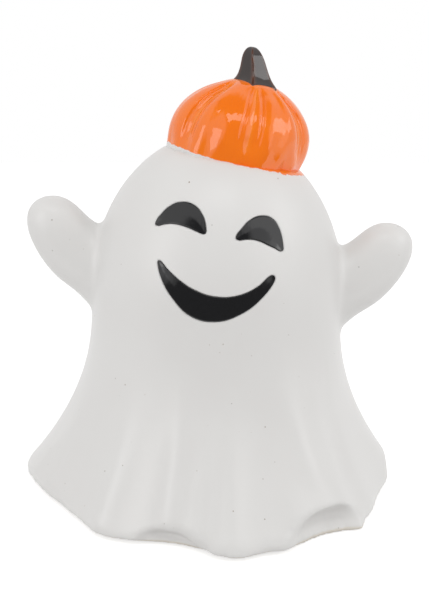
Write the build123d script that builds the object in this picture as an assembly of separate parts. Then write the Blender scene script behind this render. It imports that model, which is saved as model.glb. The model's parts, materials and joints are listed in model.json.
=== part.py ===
from build123d import *
from math import cos, pi, radians, sin, sqrt
import os

# Ceramic ghost figure with a pumpkin hat: a hollow slip-cast body that stands on felt pads.
# Millimetres and degrees. +Z is up, the face looks along -Y and z = 0 is the table.
# Azimuth is measured from the front, positive towards +X. Left and right are the figure's own.

# Body: the head is the upper half of an ellipsoid, and the skirt flares below it
CROWN_HEIGHT = 127.0
CHEEK_HEIGHT = 72.0
CHEEK_HALF_WIDTH = 43.8
CHEEK_HALF_DEPTH = 38.0
HEM_HALF_WIDTH = 61.0
HEM_HALF_DEPTH = 61.0
FLARE_POWER = 2.3
HEAD_OFFSET = 1.8
HEM_OFFSET = -1.2
RIM_HEIGHT = 3.0
RIM_TUCK = 1.5

# Folds of the skirt: azimuth, rise at the hem, half angle, height where the fold dies out
FOLDS = (
    (-92, 9.8, 27, 58),
    (-69, 1.6, 12, 62),
    (-38, 1.7, 12, 60),
    (-14, 2.2, 11, 58),
    (-1, 0.9, 9, 54),
    (10, 1.7, 9, 54),
    (12, 3.2, 34, 50),
    (37, 12.0, 20, 70),
    (42, 1.5, 8, 64),
    (57, 7.4, 26, 56),
    (90, 10.2, 28, 60),
    (135, 3.4, 26, 56),
    (168, 3.4, 22, 56),
    (-158, 3.4, 22, 56),
    (-126, 3.4, 24, 56),
)
FOLD_FADE = 1.9

# Arches scooped under the hem, where it lifts off the table:
# azimuth, rise of the middle above the base, half width, half height, depth
ARCHES = (
    (-13, 0.0, 15.0, 10.5, 5.5),
    (35, 5.0, 22.0, 9.0, 11.0),
    (92, 0.0, 20.0, 7.0, 4.0),
    (151, 0.0, 15.0, 8.0, 5.0),
    (-142, 0.0, 15.0, 8.0, 5.0),
)

# Hollow casting: wall, base and the hole that the slip was poured through
WALL = 4.0
BASE_THICKNESS = 4.5
HEM_WALL = 9.0
POUR_HOLE_DIAMETER = 22.0

# Felt pads under the base
PAD_COUNT = 4
PAD_DIAMETER = 11.0
PAD_THICKNESS = 1.2
PAD_INSET = 19.0

# Arms: curled tapering stubs, luted to the sides of the body at a rise above the cheeks
ARM_LENGTH = 29.7
ARM_TIP_RADIUS = 10.3
ARM_TIP_POWER = 5.5
ARM_ROOT_HALF_HEIGHT = 13.4
ARM_TAPER_POWER = 2.3
ARM_THICKNESS_SHARE = 0.84
ARM_CURL = 40.0
ARM_ROOT_LIFT = 1.8
ARM_LIFT_END_SHARE = 0.5
ARM_BURIED = 9.0
RIGHT_SHOULDER_RISE = 9.0
RIGHT_ARM_ANGLE = 32.0
LEFT_SHOULDER_RISE = 0.8
LEFT_ARM_ANGLE = 26.0

# Face: recesses with a pool of black glaze, drawn in the front view; a level is a share of the head's height
RECESS_DEPTH = 1.4
GLAZE_DROP = 0.5
EYE_WIDTH = 15.7
EYE_TALL = 8.1
EYE_UNDERCUT = 1.6
EYE_CORNER_RADIUS = 0.7
RIGHT_EYE_X = -10.1
RIGHT_EYE_LEVEL = 0.55
RIGHT_EYE_TILT = -4.0
LEFT_EYE_X = 15.3
LEFT_EYE_LEVEL = 0.467
LEFT_EYE_TILT = -18.0
MOUTH_X = 1.3
MOUTH_LEVEL = 0.327
MOUTH_WIDTH = 37.0
MOUTH_DROP = 16.1
MOUTH_LIP_DROP = 8.0
MOUTH_CORNER_RADIUS = 0.6
MOUTH_TILT = -7.0

# Hat: half a pumpkin on a seat that is cut across the crown
SEAT_DROP = 7.4
SEAT_SIDE_TILT = 10.5
SEAT_BACK_TILT = 7.5
HAT_HEIGHT = 26.4
HAT_LEAN = 2.0
HAT_BULGE = 0.8
HAT_BULGE_HEIGHT = 7.5
HAT_DOME_POWER = 0.6
CREASE_AZIMUTHS = (-112, -52, 8, 67, 122, 178)
CREASE_HALF_ANGLE = 20.0
CREASE_DEPTH = 2.0

# Stalk of the pumpkin
STALK_LENGTH = 11.7
STALK_BASE_RADIUS = 7.2
STALK_NECK_RADIUS = 4.3
STALK_LEAN = 2.0
STALK_TIP_POWER = 5.0
STALK_RIDGES = 5
STALK_RIDGE_HEIGHT = 0.45
STALK_OVERHANG = 0.5

# Smoothness of the lofted forms
BODY_POINT_COUNT = 72
CAVITY_POINT_COUNT = 12
SKIRT_LEVEL_COUNT = 12
SKIRT_LEVEL_POWER = 1.4
HEAD_LEVEL_COUNT = 7
HEAD_LAST_ANGLE = 78.0
HAT_POINT_COUNT = 54
RIDGE_POINT_COUNT = 4


def eased(share):
    """Smooth step from 0 to 1."""
    share = min(max(share, 0.0), 1.0)
    return share * share * (3 - 2 * share)


def angle_between(azimuth, other):
    """Angle from one azimuth to another, without its sign."""
    return abs((azimuth - other + 180) % 360 - 180)


def fold_rise(azimuth, height):
    """How far the folds stand out from the plain skirt."""
    rise = 0.0
    for centre, tall, half_angle, top in FOLDS:
        share = min(angle_between(azimuth, centre) / half_angle, 1)
        fade = max(1 - height / top, 0) ** FOLD_FADE
        rise += tall * cos(share * pi / 2) ** 2 * fade
    tuck = max(1 - (height - PAD_THICKNESS) / RIM_HEIGHT, 0)
    return rise - RIM_TUCK * tuck**2


def half_size(cheek, hem, crown, height):
    """Half width or half depth of a plain body, from its sizes at three heights."""
    below = max(CHEEK_HEIGHT - height, 0) / CHEEK_HEIGHT
    above = max(height - CHEEK_HEIGHT, 0) / (crown - CHEEK_HEIGHT)
    return cheek * sqrt(1 - above**2) + (hem - cheek) * below**FLARE_POWER


def middle_x(height):
    """Where the middle of the body stands at a height: the skirt sways to one side."""
    below = max(CHEEK_HEIGHT - height, 0) / CHEEK_HEIGHT
    return HEAD_OFFSET + (HEM_OFFSET - HEAD_OFFSET) * below


def smooth_ring(points):
    """A smooth closed wire, evenly divided so that the rings of a loft match."""
    marks = [i / len(points) for i in range(len(points) + 1)]
    return Wire([Edge.make_spline(points, periodic=True, parameters=marks)])


def azimuths(count):
    """Evenly spaced azimuths, starting at the back."""
    return [360 * i / count - 180 for i in range(count)]


def body_point(azimuth, height):
    """Point of the outer surface of the body."""
    rise = fold_rise(azimuth, height)
    half_width = half_size(CHEEK_HALF_WIDTH, HEM_HALF_WIDTH, CROWN_HEIGHT, height) + rise
    half_depth = half_size(CHEEK_HALF_DEPTH, HEM_HALF_DEPTH, CROWN_HEIGHT, height) + rise
    turn = radians(azimuth)
    return middle_x(height) + half_width * sin(turn), -half_depth * cos(turn), height


def body_ring(height):
    """Outer surface of the body at a height."""
    return smooth_ring([body_point(azimuth, height) for azimuth in azimuths(BODY_POINT_COUNT)])


def cavity_ring(height):
    """Inner surface of the casting at a height: it is smooth, and thicker at the hem."""
    crown = CROWN_HEIGHT - WALL
    half_width = half_size(CHEEK_HALF_WIDTH - WALL, HEM_HALF_WIDTH - HEM_WALL, crown, height)
    half_depth = half_size(CHEEK_HALF_DEPTH - WALL, HEM_HALF_DEPTH - HEM_WALL, crown, height)
    points = []
    for azimuth in azimuths(CAVITY_POINT_COUNT):
        x = middle_x(height) + half_width * sin(radians(azimuth))
        y = -half_depth * cos(radians(azimuth))
        points.append((x, y, height))
    return smooth_ring(points)


def body_levels(lowest, crown):
    """Heights of the rings: close together at the hem and towards the crown."""
    levels = []
    for i in range(SKIRT_LEVEL_COUNT):
        levels.append(lowest + (CHEEK_HEIGHT - lowest) * (i / SKIRT_LEVEL_COUNT) ** SKIRT_LEVEL_POWER)
    for i in range(HEAD_LEVEL_COUNT + 1):
        angle = radians(HEAD_LAST_ANGLE * i / HEAD_LEVEL_COUNT)
        levels.append(CHEEK_HEIGHT + (crown - CHEEK_HEIGHT) * sin(angle))
    return levels


def head_form(inset):
    """Ellipsoid that the head follows, pulled in by an inset."""
    size = (CHEEK_HALF_WIDTH - inset, CHEEK_HALF_DEPTH - inset, CROWN_HEIGHT - CHEEK_HEIGHT - inset)
    return Pos(HEAD_OFFSET, 0, CHEEK_HEIGHT) * scale(Sphere(1), by=size)


def seat_plane():
    """Plane of the hat's seat: it falls to the figure's left and to the back."""
    plane = Plane.XY.rotated((-SEAT_BACK_TILT, SEAT_SIDE_TILT, 0))
    normal = plane.z_dir
    squares = (CHEEK_HALF_WIDTH**2, CHEEK_HALF_DEPTH**2, (CROWN_HEIGHT - CHEEK_HEIGHT) ** 2)
    pull = Vector(squares[0] * normal.X, squares[1] * normal.Y, squares[2] * normal.Z)
    distance = (CROWN_HEIGHT - SEAT_DROP - CHEEK_HEIGHT) * normal.Z
    centre = Vector(HEAD_OFFSET, 0, CHEEK_HEIGHT) + pull * (distance / pull.dot(normal))
    return Plane(centre, x_dir=plane.x_dir, z_dir=normal)


def seat_radius(plane, direction):
    """Distance from the seat's centre to the head's surface in one direction of the seat."""
    axes = (CHEEK_HALF_WIDTH, CHEEK_HALF_DEPTH, CROWN_HEIGHT - CHEEK_HEIGHT)
    start = plane.origin - Vector(HEAD_OFFSET, 0, CHEEK_HEIGHT)
    start = Vector(start.X / axes[0], start.Y / axes[1], start.Z / axes[2])
    step = Vector(direction.X / axes[0], direction.Y / axes[1], direction.Z / axes[2])
    half = start.dot(step)
    return (sqrt(half**2 - step.dot(step) * (start.dot(start) - 1)) - half) / step.dot(step)


def face_height(level):
    """Height of a point of the face, from the cheeks at 0 to the crown at 1."""
    return CHEEK_HEIGHT + (CROWN_HEIGHT - CHEEK_HEIGHT) * level


def eye_outline(x, level, tilt):
    """Smiling eye: a round top over a bottom edge that bows up."""
    left = (-EYE_WIDTH / 2, 0)
    right = (EYE_WIDTH / 2, 0)
    lid = ThreePointArc(left, (0, EYE_TALL), right)
    lower = ThreePointArc(right, (0, EYE_UNDERCUT), left)
    shape = make_face([lid, lower])
    shape = fillet(shape.vertices(), EYE_CORNER_RADIUS)
    return Plane.XZ * Pos(x, face_height(level)) * Rot(0, 0, tilt) * shape


def mouth_outline():
    """Open smile: a crescent between two arcs."""
    left = (-MOUTH_WIDTH / 2, 0)
    right = (MOUTH_WIDTH / 2, 0)
    chin = ThreePointArc(left, (0, -MOUTH_DROP), right)
    lip = ThreePointArc(right, (0, -MOUTH_LIP_DROP), left)
    shape = make_face([chin, lip])
    shape = fillet(shape.vertices(), MOUTH_CORNER_RADIUS)
    return Plane.XZ * Pos(MOUTH_X, face_height(MOUTH_LEVEL)) * Rot(0, 0, MOUTH_TILT) * shape


def face_prism(outline):
    """Straight block behind and before a face outline, through the front of the head."""
    return extrude(outline, amount=CHEEK_HALF_DEPTH + WALL)


def glaze_pool(outline):
    """Black glaze that fills the floor of a face recess."""
    return (face_prism(outline) & head_form(GLAZE_DROP)) - head_form(RECESS_DEPTH)


def hem_scoop(azimuth, rise, half_width, half_height, depth):
    """Oval hollow under the hem, centred at or above its lower edge."""
    x, y, _ = body_point(azimuth, PAD_THICKNESS + RIM_HEIGHT)
    oval = scale(Sphere(1), by=(half_width, depth, half_height))
    return Pos(x, y, PAD_THICKNESS + rise) * Rot(0, 0, azimuth) * oval


def solid_body():
    """The body as one solid block, cut flat where the hat sits and scooped under the hem."""
    block = Solid.make_loft([body_ring(height) for height in body_levels(PAD_THICKNESS, CROWN_HEIGHT)])
    block = split(block, bisect_by=seat_plane(), keep=Keep.BOTTOM)
    for arch in ARCHES:
        block -= hem_scoop(*arch)
    return block


def body_shell(block, outlines):
    """Hollow casting: cavity, pour hole and face recesses cut from the block."""
    base_top = PAD_THICKNESS + BASE_THICKNESS
    ceiling = seat_plane().offset(-WALL)
    levels = body_levels(base_top, CROWN_HEIGHT - WALL)
    cavity = Solid.make_loft([cavity_ring(height) for height in levels])
    shell = block - split(cavity, bisect_by=ceiling, keep=Keep.BOTTOM)
    hole = Cylinder(POUR_HOLE_DIAMETER / 2, BASE_THICKNESS, align=(Align.CENTER, Align.CENTER, Align.MIN))
    shell -= Pos(HEM_OFFSET, 0, PAD_THICKNESS) * hole
    for outline in outlines:
        shell -= face_prism(outline) - head_form(RECESS_DEPTH)
    return shell


def arm(block, side, shoulder_rise, root_angle):
    """One arm: oval sections along a curled axis, lifted at the root and trimmed by the body."""
    here = Vector(body_point(side * 90, CHEEK_HEIGHT + shoulder_rise))
    last = 0
    sections = []
    for share in (-ARM_BURIED / ARM_LENGTH, 0, 0.2, 0.4, 0.6, 0.75, 0.86, 0.94, 0.985, 1):
        angle = radians(root_angle + ARM_CURL * max(share, 0))
        along = Vector(side * cos(angle), 0, sin(angle))
        upward = Vector(-side * sin(angle), 0, cos(angle))
        here = here + along * ((share - last) * ARM_LENGTH)
        last = share
        lift = ARM_ROOT_LIFT * max(1 - max(share, 0) / ARM_LIFT_END_SHARE, 0) ** 2
        across = Plane(here + upward * lift, x_dir=(0, 1, 0), z_dir=along)
        taper = ARM_TIP_RADIUS + (ARM_ROOT_HALF_HEIGHT - ARM_TIP_RADIUS) * (1 - share) ** ARM_TAPER_POWER
        half_height = taper * sqrt(1 - max(share, 0) ** ARM_TIP_POWER)
        if share < 1:
            sections.append((across * Ellipse(half_height * ARM_THICKNESS_SHARE, half_height)).wire())
    return Solid.make_loft(sections + [Vertex(here)]) - block


def hat_axis(seat, level):
    """Point of the hat's axis at a level above its seat: the hat leans more than the seat does."""
    return seat.origin + seat.z_dir * level + seat.x_dir * (HAT_LEAN * level / HAT_HEIGHT)


def outward(seat, azimuth):
    """Direction along the seat at an azimuth."""
    return seat.x_dir * sin(radians(azimuth)) - seat.y_dir * cos(radians(azimuth))


def crease(azimuth):
    """How deep the pumpkin is creased at an azimuth, from 0 on a lobe to 1 in the middle of a crease."""
    nearest = min(angle_between(azimuth, centre) for centre in CREASE_AZIMUTHS)
    return (1 - min(nearest / CREASE_HALF_ANGLE, 1)) ** 2


def hat():
    """Half pumpkin: creased rings that start on the seat's own outline."""
    seat = seat_plane()
    dome = HAT_HEIGHT - HAT_BULGE_HEIGHT
    top_radius = (STALK_BASE_RADIUS - STALK_OVERHANG) / seat_radius(seat, seat.x_dir)
    top_share = 1 - top_radius ** (1 / HAT_DOME_POWER)
    levels = [HAT_BULGE_HEIGHT * share for share in (0, 0.3, 0.65, 1)]
    for angle in (20, 40, 58, 74, 90):
        levels.append(HAT_BULGE_HEIGHT + dome * sqrt(top_share) * sin(radians(angle)))
    rings = []
    for level in levels:
        below = min(level / HAT_BULGE_HEIGHT, 1)
        above = max(level - HAT_BULGE_HEIGHT, 0) / dome
        points = []
        for azimuth in azimuths(HAT_POINT_COUNT):
            direction = outward(seat, azimuth)
            radius = seat_radius(seat, direction) + HAT_BULGE * sin(below * pi / 2)
            radius -= CREASE_DEPTH * crease(azimuth) * eased(below)
            radius *= (1 - above**2) ** HAT_DOME_POWER
            points.append(hat_axis(seat, level) + direction * radius)
        rings.append(smooth_ring(points))
    return Solid.make_loft(rings), levels[-1]


def stalk(base_level):
    """Ridged stalk that stands on the flat top of the pumpkin, leans and ends in a round tip."""
    seat = seat_plane()
    rings = []
    for share in (0, 0.1, 0.25, 0.45, 0.65, 0.82, 0.92, 0.98):
        radius = STALK_NECK_RADIUS + (STALK_BASE_RADIUS - STALK_NECK_RADIUS) * (1 - share) ** 5
        radius *= sqrt(1 - share**STALK_TIP_POWER)
        middle = hat_axis(seat, base_level + STALK_LENGTH * share) - seat.x_dir * (STALK_LEAN * share**1.5)
        points = []
        for azimuth in azimuths(STALK_RIDGES * RIDGE_POINT_COUNT):
            ridge = STALK_RIDGE_HEIGHT * cos(STALK_RIDGES * radians(azimuth)) * (1 - share)
            points.append(middle + outward(seat, azimuth) * (radius + ridge))
        rings.append(smooth_ring(points))
    return Solid.make_loft(rings)


def foot_pads():
    """Felt discs on a circle under the base."""
    disc = Cylinder(PAD_DIAMETER / 2, PAD_THICKNESS, align=(Align.CENTER, Align.CENTER, Align.MIN))
    circle_radius = min(HEM_HALF_WIDTH, HEM_HALF_DEPTH) - PAD_INSET
    places = PolarLocations(circle_radius, PAD_COUNT, start_angle=180 / PAD_COUNT)
    return Compound(children=[Pos(HEM_OFFSET, 0, 0) * place * disc for place in places])


right_eye_outline = eye_outline(RIGHT_EYE_X, RIGHT_EYE_LEVEL, RIGHT_EYE_TILT)
left_eye_outline = eye_outline(LEFT_EYE_X, LEFT_EYE_LEVEL, LEFT_EYE_TILT)
smile_outline = mouth_outline()
block = solid_body()
pumpkin, pumpkin_top = hat()

pieces = {
    "body_shell": body_shell(block, (right_eye_outline, left_eye_outline, smile_outline)),
    "right_arm": arm(block, -1, RIGHT_SHOULDER_RISE, RIGHT_ARM_ANGLE),
    "left_arm": arm(block, 1, LEFT_SHOULDER_RISE, LEFT_ARM_ANGLE),
    "pumpkin_hat": pumpkin,
    "hat_stem": stalk(pumpkin_top),
    "right_eye": glaze_pool(right_eye_outline),
    "left_eye": glaze_pool(left_eye_outline),
    "mouth": glaze_pool(smile_outline),
    "foot_pads": foot_pads(),
}

os.makedirs("parts", exist_ok=True)
for name, piece in pieces.items():
    export_step(piece, f"parts/{name}.step")
    print(name, "volume", round(piece.volume), "mm3")
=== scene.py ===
# %% [markdown]
# # A ceramic ghost with a pumpkin hat
# The real figure is a hollow slip casting with two arms luted to its sides, dipped in a satin
# white glaze. The hat, its stalk and the face are painted in gloss glazes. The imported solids
# are loaded first, as a fixed frame, and every piece below is fitted to them. Lengths are in
# millimetres, which `MM` turns to Blender's metres, and angles are in degrees.

# %% Load the frame
import json
import math

import bpy
from mathutils import Matrix, Vector, noise
from mathutils.bvhtree import BVHTree
from mathutils.kdtree import KDTree

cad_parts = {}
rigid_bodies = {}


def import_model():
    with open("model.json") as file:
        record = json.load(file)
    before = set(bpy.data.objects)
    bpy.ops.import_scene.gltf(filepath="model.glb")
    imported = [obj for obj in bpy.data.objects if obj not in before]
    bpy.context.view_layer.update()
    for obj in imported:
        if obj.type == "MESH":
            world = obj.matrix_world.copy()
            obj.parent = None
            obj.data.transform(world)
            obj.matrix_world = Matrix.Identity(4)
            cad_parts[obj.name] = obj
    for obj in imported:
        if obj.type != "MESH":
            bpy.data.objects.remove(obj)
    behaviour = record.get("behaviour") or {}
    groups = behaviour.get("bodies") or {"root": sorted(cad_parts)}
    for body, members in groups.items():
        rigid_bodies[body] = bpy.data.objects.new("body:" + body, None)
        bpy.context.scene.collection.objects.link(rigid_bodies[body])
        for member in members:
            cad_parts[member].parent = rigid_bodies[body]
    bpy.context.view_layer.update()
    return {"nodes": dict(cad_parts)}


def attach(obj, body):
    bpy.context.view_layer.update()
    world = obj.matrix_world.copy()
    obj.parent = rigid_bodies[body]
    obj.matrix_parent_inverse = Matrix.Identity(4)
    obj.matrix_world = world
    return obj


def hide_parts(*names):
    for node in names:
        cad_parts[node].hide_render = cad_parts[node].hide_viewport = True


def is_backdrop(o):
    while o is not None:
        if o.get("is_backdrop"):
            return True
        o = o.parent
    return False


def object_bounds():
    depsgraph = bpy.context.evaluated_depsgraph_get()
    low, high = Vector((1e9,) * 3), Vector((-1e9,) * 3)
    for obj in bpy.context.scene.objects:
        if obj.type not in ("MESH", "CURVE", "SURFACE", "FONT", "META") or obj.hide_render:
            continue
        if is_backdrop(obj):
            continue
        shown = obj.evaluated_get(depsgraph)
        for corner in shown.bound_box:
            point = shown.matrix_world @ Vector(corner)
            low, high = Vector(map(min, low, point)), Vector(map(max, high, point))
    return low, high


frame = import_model()
MM = 0.001

# %% [markdown]
# ## Small tools
# Blender's operators act on whatever is selected, so `only` selects one piece at a time and
# `edit` opens it in edit mode. `shaped` adds a modifier and applies it at once, as the Apply
# button does. `weigh` paints a vertex group from a formula, and a Displace or Smooth modifier
# then works only where the group has weight. Together they do in code what a sculptor does
# with a brush.

# %% Helpers for modelling


def only(*pieces):
    """Select these pieces alone, with the last one active, in object mode."""
    if bpy.context.mode != "OBJECT":
        bpy.ops.object.mode_set(mode="OBJECT")
    bpy.ops.object.select_all(action="DESELECT")
    for piece in pieces:
        piece.select_set(True)
        bpy.context.view_layer.objects.active = piece


def edit(piece, kind="VERT", action="SELECT"):
    """Open one piece in edit mode, to pick vertices, edges or faces, with all or none picked."""
    only(piece)
    bpy.ops.object.mode_set(mode="EDIT")
    bpy.ops.mesh.select_mode(type=kind)
    bpy.ops.mesh.select_all(action=action)


def close_edit():
    """Go back to object mode."""
    bpy.ops.object.mode_set(mode="OBJECT")


def shaped(piece, kind, **settings):
    """Add one modifier to a piece, set it and apply it."""
    only(piece)
    modifier = piece.modifiers.new(kind.title(), kind)
    for name, value in settings.items():
        setattr(modifier, name, value)
    bpy.ops.object.modifier_apply(modifier=modifier.name)


def weigh(piece, name, weight_of):
    """Paint a vertex group from a function of a point in millimetres."""
    group = piece.vertex_groups.new(name=name)
    for vertex in piece.data.vertices:
        weight = weight_of(vertex.co / MM)
        if weight > 0:
            group.add([vertex.index], weight, "REPLACE")
    return name


def eased(share):
    """Smooth step from 0 to 1."""
    share = min(max(share, 0.0), 1.0)
    return share * share * (3 - 2 * share)


# %% [markdown]
# ## The clay body
# On the bench the body and arms are separate castings. Slip joins them, and a wet sponge rounds
# every edge before the glaze goes on, so the finished figure shows one soft skin. The solids
# have the form but also the sharp seams. Their copies are broken into single faces with
# Separate by Loose Parts, so that the outside can be told from the hollow inside: a patch of
# the inside faces the heart of the figure.

# %% Copy the castings and sort their faces
HEART = Vector((0, 0, 55)) * MM
FACING_SHARE = 0.1
FACE_FRONT = -20
FACE_BOTTOM = 70


def copy_of(node):
    """A loose copy of a CAD node that may be changed."""
    piece = bpy.data.objects.new(node + "_copy", frame["nodes"][node].data.copy())
    bpy.context.scene.collection.objects.link(piece)
    return piece


def loose_patches(node):
    """The faces of a CAD node as separate pieces."""
    edit(copy_of(node))
    bpy.ops.mesh.separate(type="LOOSE")
    close_edit()
    return list(bpy.context.selected_objects)


def faces_heart(patch):
    """Whether a patch of surface faces the heart of the figure."""
    facing = 0.0
    area = 0.0
    for polygon in patch.data.polygons:
        facing += polygon.area * polygon.normal.dot((HEART - polygon.center).normalized())
        area += polygon.area
    return facing > FACING_SHARE * area


def on_face(patch):
    """Whether a patch lies in a recess of the face, in front of the head's axis."""
    corners = [vertex.co / MM for vertex in patch.data.vertices]
    middle = sum(corners, Vector()) / len(corners)
    return middle.y < FACE_FRONT and middle.z > FACE_BOTTOM


body_patches = loose_patches("body_shell")
in_recess = [patch for patch in body_patches if on_face(patch)]
inside = [patch for patch in body_patches if faces_heart(patch) and patch not in in_recess]
outside = [patch for patch in body_patches if patch not in inside + in_recess]
print(len(outside), "outer patches,", len(inside), "inner ones,", len(in_recess), "of the face")

# %% [markdown]
# ## One skin
# A voxel Remesh melts the outer patches and the arms into one even mesh, as slip and sponge do
# with the clay. Boolean unions would keep every seam sharp. The openings of the face are filled
# first, and a few rounds of Smooth take off the marks of the voxels.

# %% Melt the castings into one skin
SKIN_VOXEL = 1.0
SPONGE_ROUNDS = 8
MERGE = 0.005


def soften(piece, rounds, group=""):
    """Smooth a piece for some rounds, all over or where a vertex group has weight."""
    shaped(piece, "SMOOTH", factor=0.5, iterations=rounds, vertex_group=group)


joint_ring = []
for arm in ("right_arm", "left_arm"):
    for patch in loose_patches(arm):
        if faces_heart(patch):
            joint_ring += [vertex.co / MM for vertex in patch.data.vertices]
        outside.append(patch)
only(*outside)
bpy.ops.object.join()
skin = bpy.context.view_layer.objects.active
skin.name = "glazed_body"
edit(skin)
bpy.ops.mesh.remove_doubles(threshold=MERGE * MM)
bpy.ops.mesh.select_all(action="DESELECT")
bpy.ops.mesh.select_non_manifold()
bpy.ops.mesh.fill(use_beauty=True)
close_edit()
shaped(skin, "REMESH", mode="VOXEL", voxel_size=SKIN_VOXEL * MM, use_smooth_shade=True)
soften(skin, SPONGE_ROUNDS)
print("skin has", len(skin.data.polygons), "faces")

# %% [markdown]
# The slip that joins an arm fills the corner between arm and body. A Bevel needs a clean edge,
# which the melted skin no longer has. Smoothing that is weighted by the distance to the joint
# leaves such a fillet and spares the rest of the arm.

# %% Soften the joints of the arms
JOINT_REACH = 4.5
JOINT_ROUNDS = 14


def tree_of(points):
    """A search tree over points, for the nearest one."""
    tree = KDTree(len(points))
    for index, point in enumerate(points):
        tree.insert(point, index)
    tree.balance()
    return tree


def near_joint(point):
    """Weight of a point for the slip fillet at the root of an arm."""
    distance = ring.find(point)[2]
    return eased(1 - distance / JOINT_REACH)


ring = tree_of(joint_ring)
soften(skin, JOINT_ROUNDS, weigh(skin, "joints", near_joint))
print("fillets follow", len(joint_ring), "points of the joints")

# %% [markdown]
# The hem of the sheet is lifted in arches, pressed up with a wet finger. The frame has them. The
# two at the front are coved deeper here, so that the lip above them throws a shade, and the foot
# below is pushed out again to where the sheet meets the table. Displace does both, weighted by
# the angle round the body and the height.

# %% Cove the two front arches
AXIS_FOOT = -1.3
AXIS_LEAN = 0.042
CASTING_FOOT = 1.2
COVE_DEPTH = 3.6
# Each row: middle, half turn, height, share of the depth, height of the run-in, share of the lip.
COVES = ((-12, 15, 9.5, 1.0, 1.5, 0.2), (39, 16, 13.0, 0.65, 4.0, 0.7))
LIP_REACH = 1.5
LIP_BREADTH = 1.4
LIP_FOOT = 1.0
LIP_HEIGHT = 4.0


def push(piece, lift, group):
    """Push a piece along its normals, in millimetres, where a vertex group has weight."""
    shaped(piece, "DISPLACE", strength=lift * MM, mid_level=0, vertex_group=group)


def round_body(point):
    """Angle from the front in degrees and distance from the body's leaning axis."""
    side = point.x - AXIS_FOOT - AXIS_LEAN * point.z
    return math.degrees(math.atan2(side, -point.y)), math.hypot(side, point.y)


def cove(point):
    """Weight of the hollows under the two front arches."""
    turn, _ = round_body(point)
    for middle, half_turn, tall, share, run_in, _ in COVES:
        inward = 1 - ((turn - middle) / half_turn) ** 2 - (point.z / tall) ** 2
        if inward > 0:
            return share * eased(inward) * eased((point.z - CASTING_FOOT) / run_in)
    return 0


def lip(point):
    """Weight of the foot below the two front arches, which stands out again."""
    turn, _ = round_body(point)
    shares = []
    for middle, half_turn, _, _, _, lip_share in COVES:
        across = 1 - ((turn - middle) / half_turn) ** 2
        shares.append(lip_share * eased(LIP_BREADTH * across))
    return max(shares) * eased(1 - (point.z - LIP_FOOT) / LIP_HEIGHT)


push(skin, -COVE_DEPTH, weigh(skin, "coves", cove))
push(skin, LIP_REACH, weigh(skin, "lips", lip))
print("coved", len(COVES), "arches by up to", COVE_DEPTH, "mm")

# %% [markdown]
# Seven folds run down the front of the sheet. The frame has their broad swell. The narrow crests,
# which catch the light, are raised here along lines from the hem upwards. They could be drawn
# with a sculpting brush, but a bell curve across each line gives the same soft ridge every time.

# %% Raise the crests of the folds
CREST_LIFT = 2.0
CREST_START = -0.25
CREST_RISE = 0.5
CREST_END = 1.3
CREST_FADE = 0.9
HEM_CALM = 0.5
HEM_EASE = 5.0
# Each row: angle and height of the lower end, the same of the upper end, half width, share of the lift.
FOLD_CRESTS = (
    ((-78, -6), (-69, 34), 10.0, 1.3),
    ((-38.5, -6), (-38.5, 40), 5.0, 0.6),
    ((-13, 7), (-14, 50), 5.0, 1.0),
    ((-4, 0), (-1, 40), 5.0, 1.1),
    ((6, -6), (8.5, 40), 3.8, 0.8),
    ((21, -4), (28, 30), 9.0, 1.2),
    ((38, 17), (36.5, 48), 4.4, 0.7),
)


def crest(point):
    """Weight of the narrow crests of the folds."""
    turn, radius = round_body(point)
    total = 0.0
    for (low_turn, low), (high_turn, high), half_width, lift in FOLD_CRESTS:
        share = (point.z - low) / (high - low)
        off = math.radians(turn - low_turn - (high_turn - low_turn) * share) * radius / half_width
        along = eased((share - CREST_START) / CREST_RISE) * eased((CREST_END - share) / CREST_FADE)
        total += lift * math.exp(-off * off) * along
    return total * eased((point.z - HEM_CALM) / HEM_EASE)


push(skin, CREST_LIFT, weigh(skin, "crests", crest))
print("raised", len(FOLD_CRESTS), "crests by about", CREST_LIFT, "mm")

# %% [markdown]
# Last, the potter goes round the rim with a wet sponge. Smooth does the same, weighted by the
# height over the table, with some extra rounds at the corners where an arch comes down.

# %% Sponge the rim of the hem
HEM_REACH = 16.0
HEM_ROUNDS = 20
RIM_FOOT = 1.0
RIM_EASE = 2.0
ARCH_ENDS = (-26, 2, 24)
CORNER_REACH = 7.0
CORNER_ROUNDS = 14


def near_hem(point):
    """Weight of a point for the sponged rim of the hem."""
    return eased(1 - point.z / HEM_REACH) * eased((point.z - RIM_FOOT) / RIM_EASE)


def near_corner(point):
    """Weight of the hem where an arch comes down to the table."""
    turn, radius = round_body(point)
    off = min(abs(turn - end) for end in ARCH_ENDS)
    return eased(1 - math.radians(off) * radius / CORNER_REACH) * eased(1 - point.z / CORNER_REACH)


soften(skin, HEM_ROUNDS, weigh(skin, "hem", near_hem))
soften(skin, CORNER_ROUNDS, weigh(skin, "corners", near_corner))
print("sponged the lowest", HEM_REACH, "mm and", len(ARCH_ENDS), "corners")

# %% [markdown]
# ## The face
# The eyes and the mouth are shallow dishes pressed into the clay and filled with black glaze.
# Each outline is two Bezier strokes with automatic handles, an upper and a lower one, and Bridge
# Edge Loops spans them with a grid of quads. A cut into the skin would leave an edge as coarse
# as its mesh, while a drawn stroke stays smooth.

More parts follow.
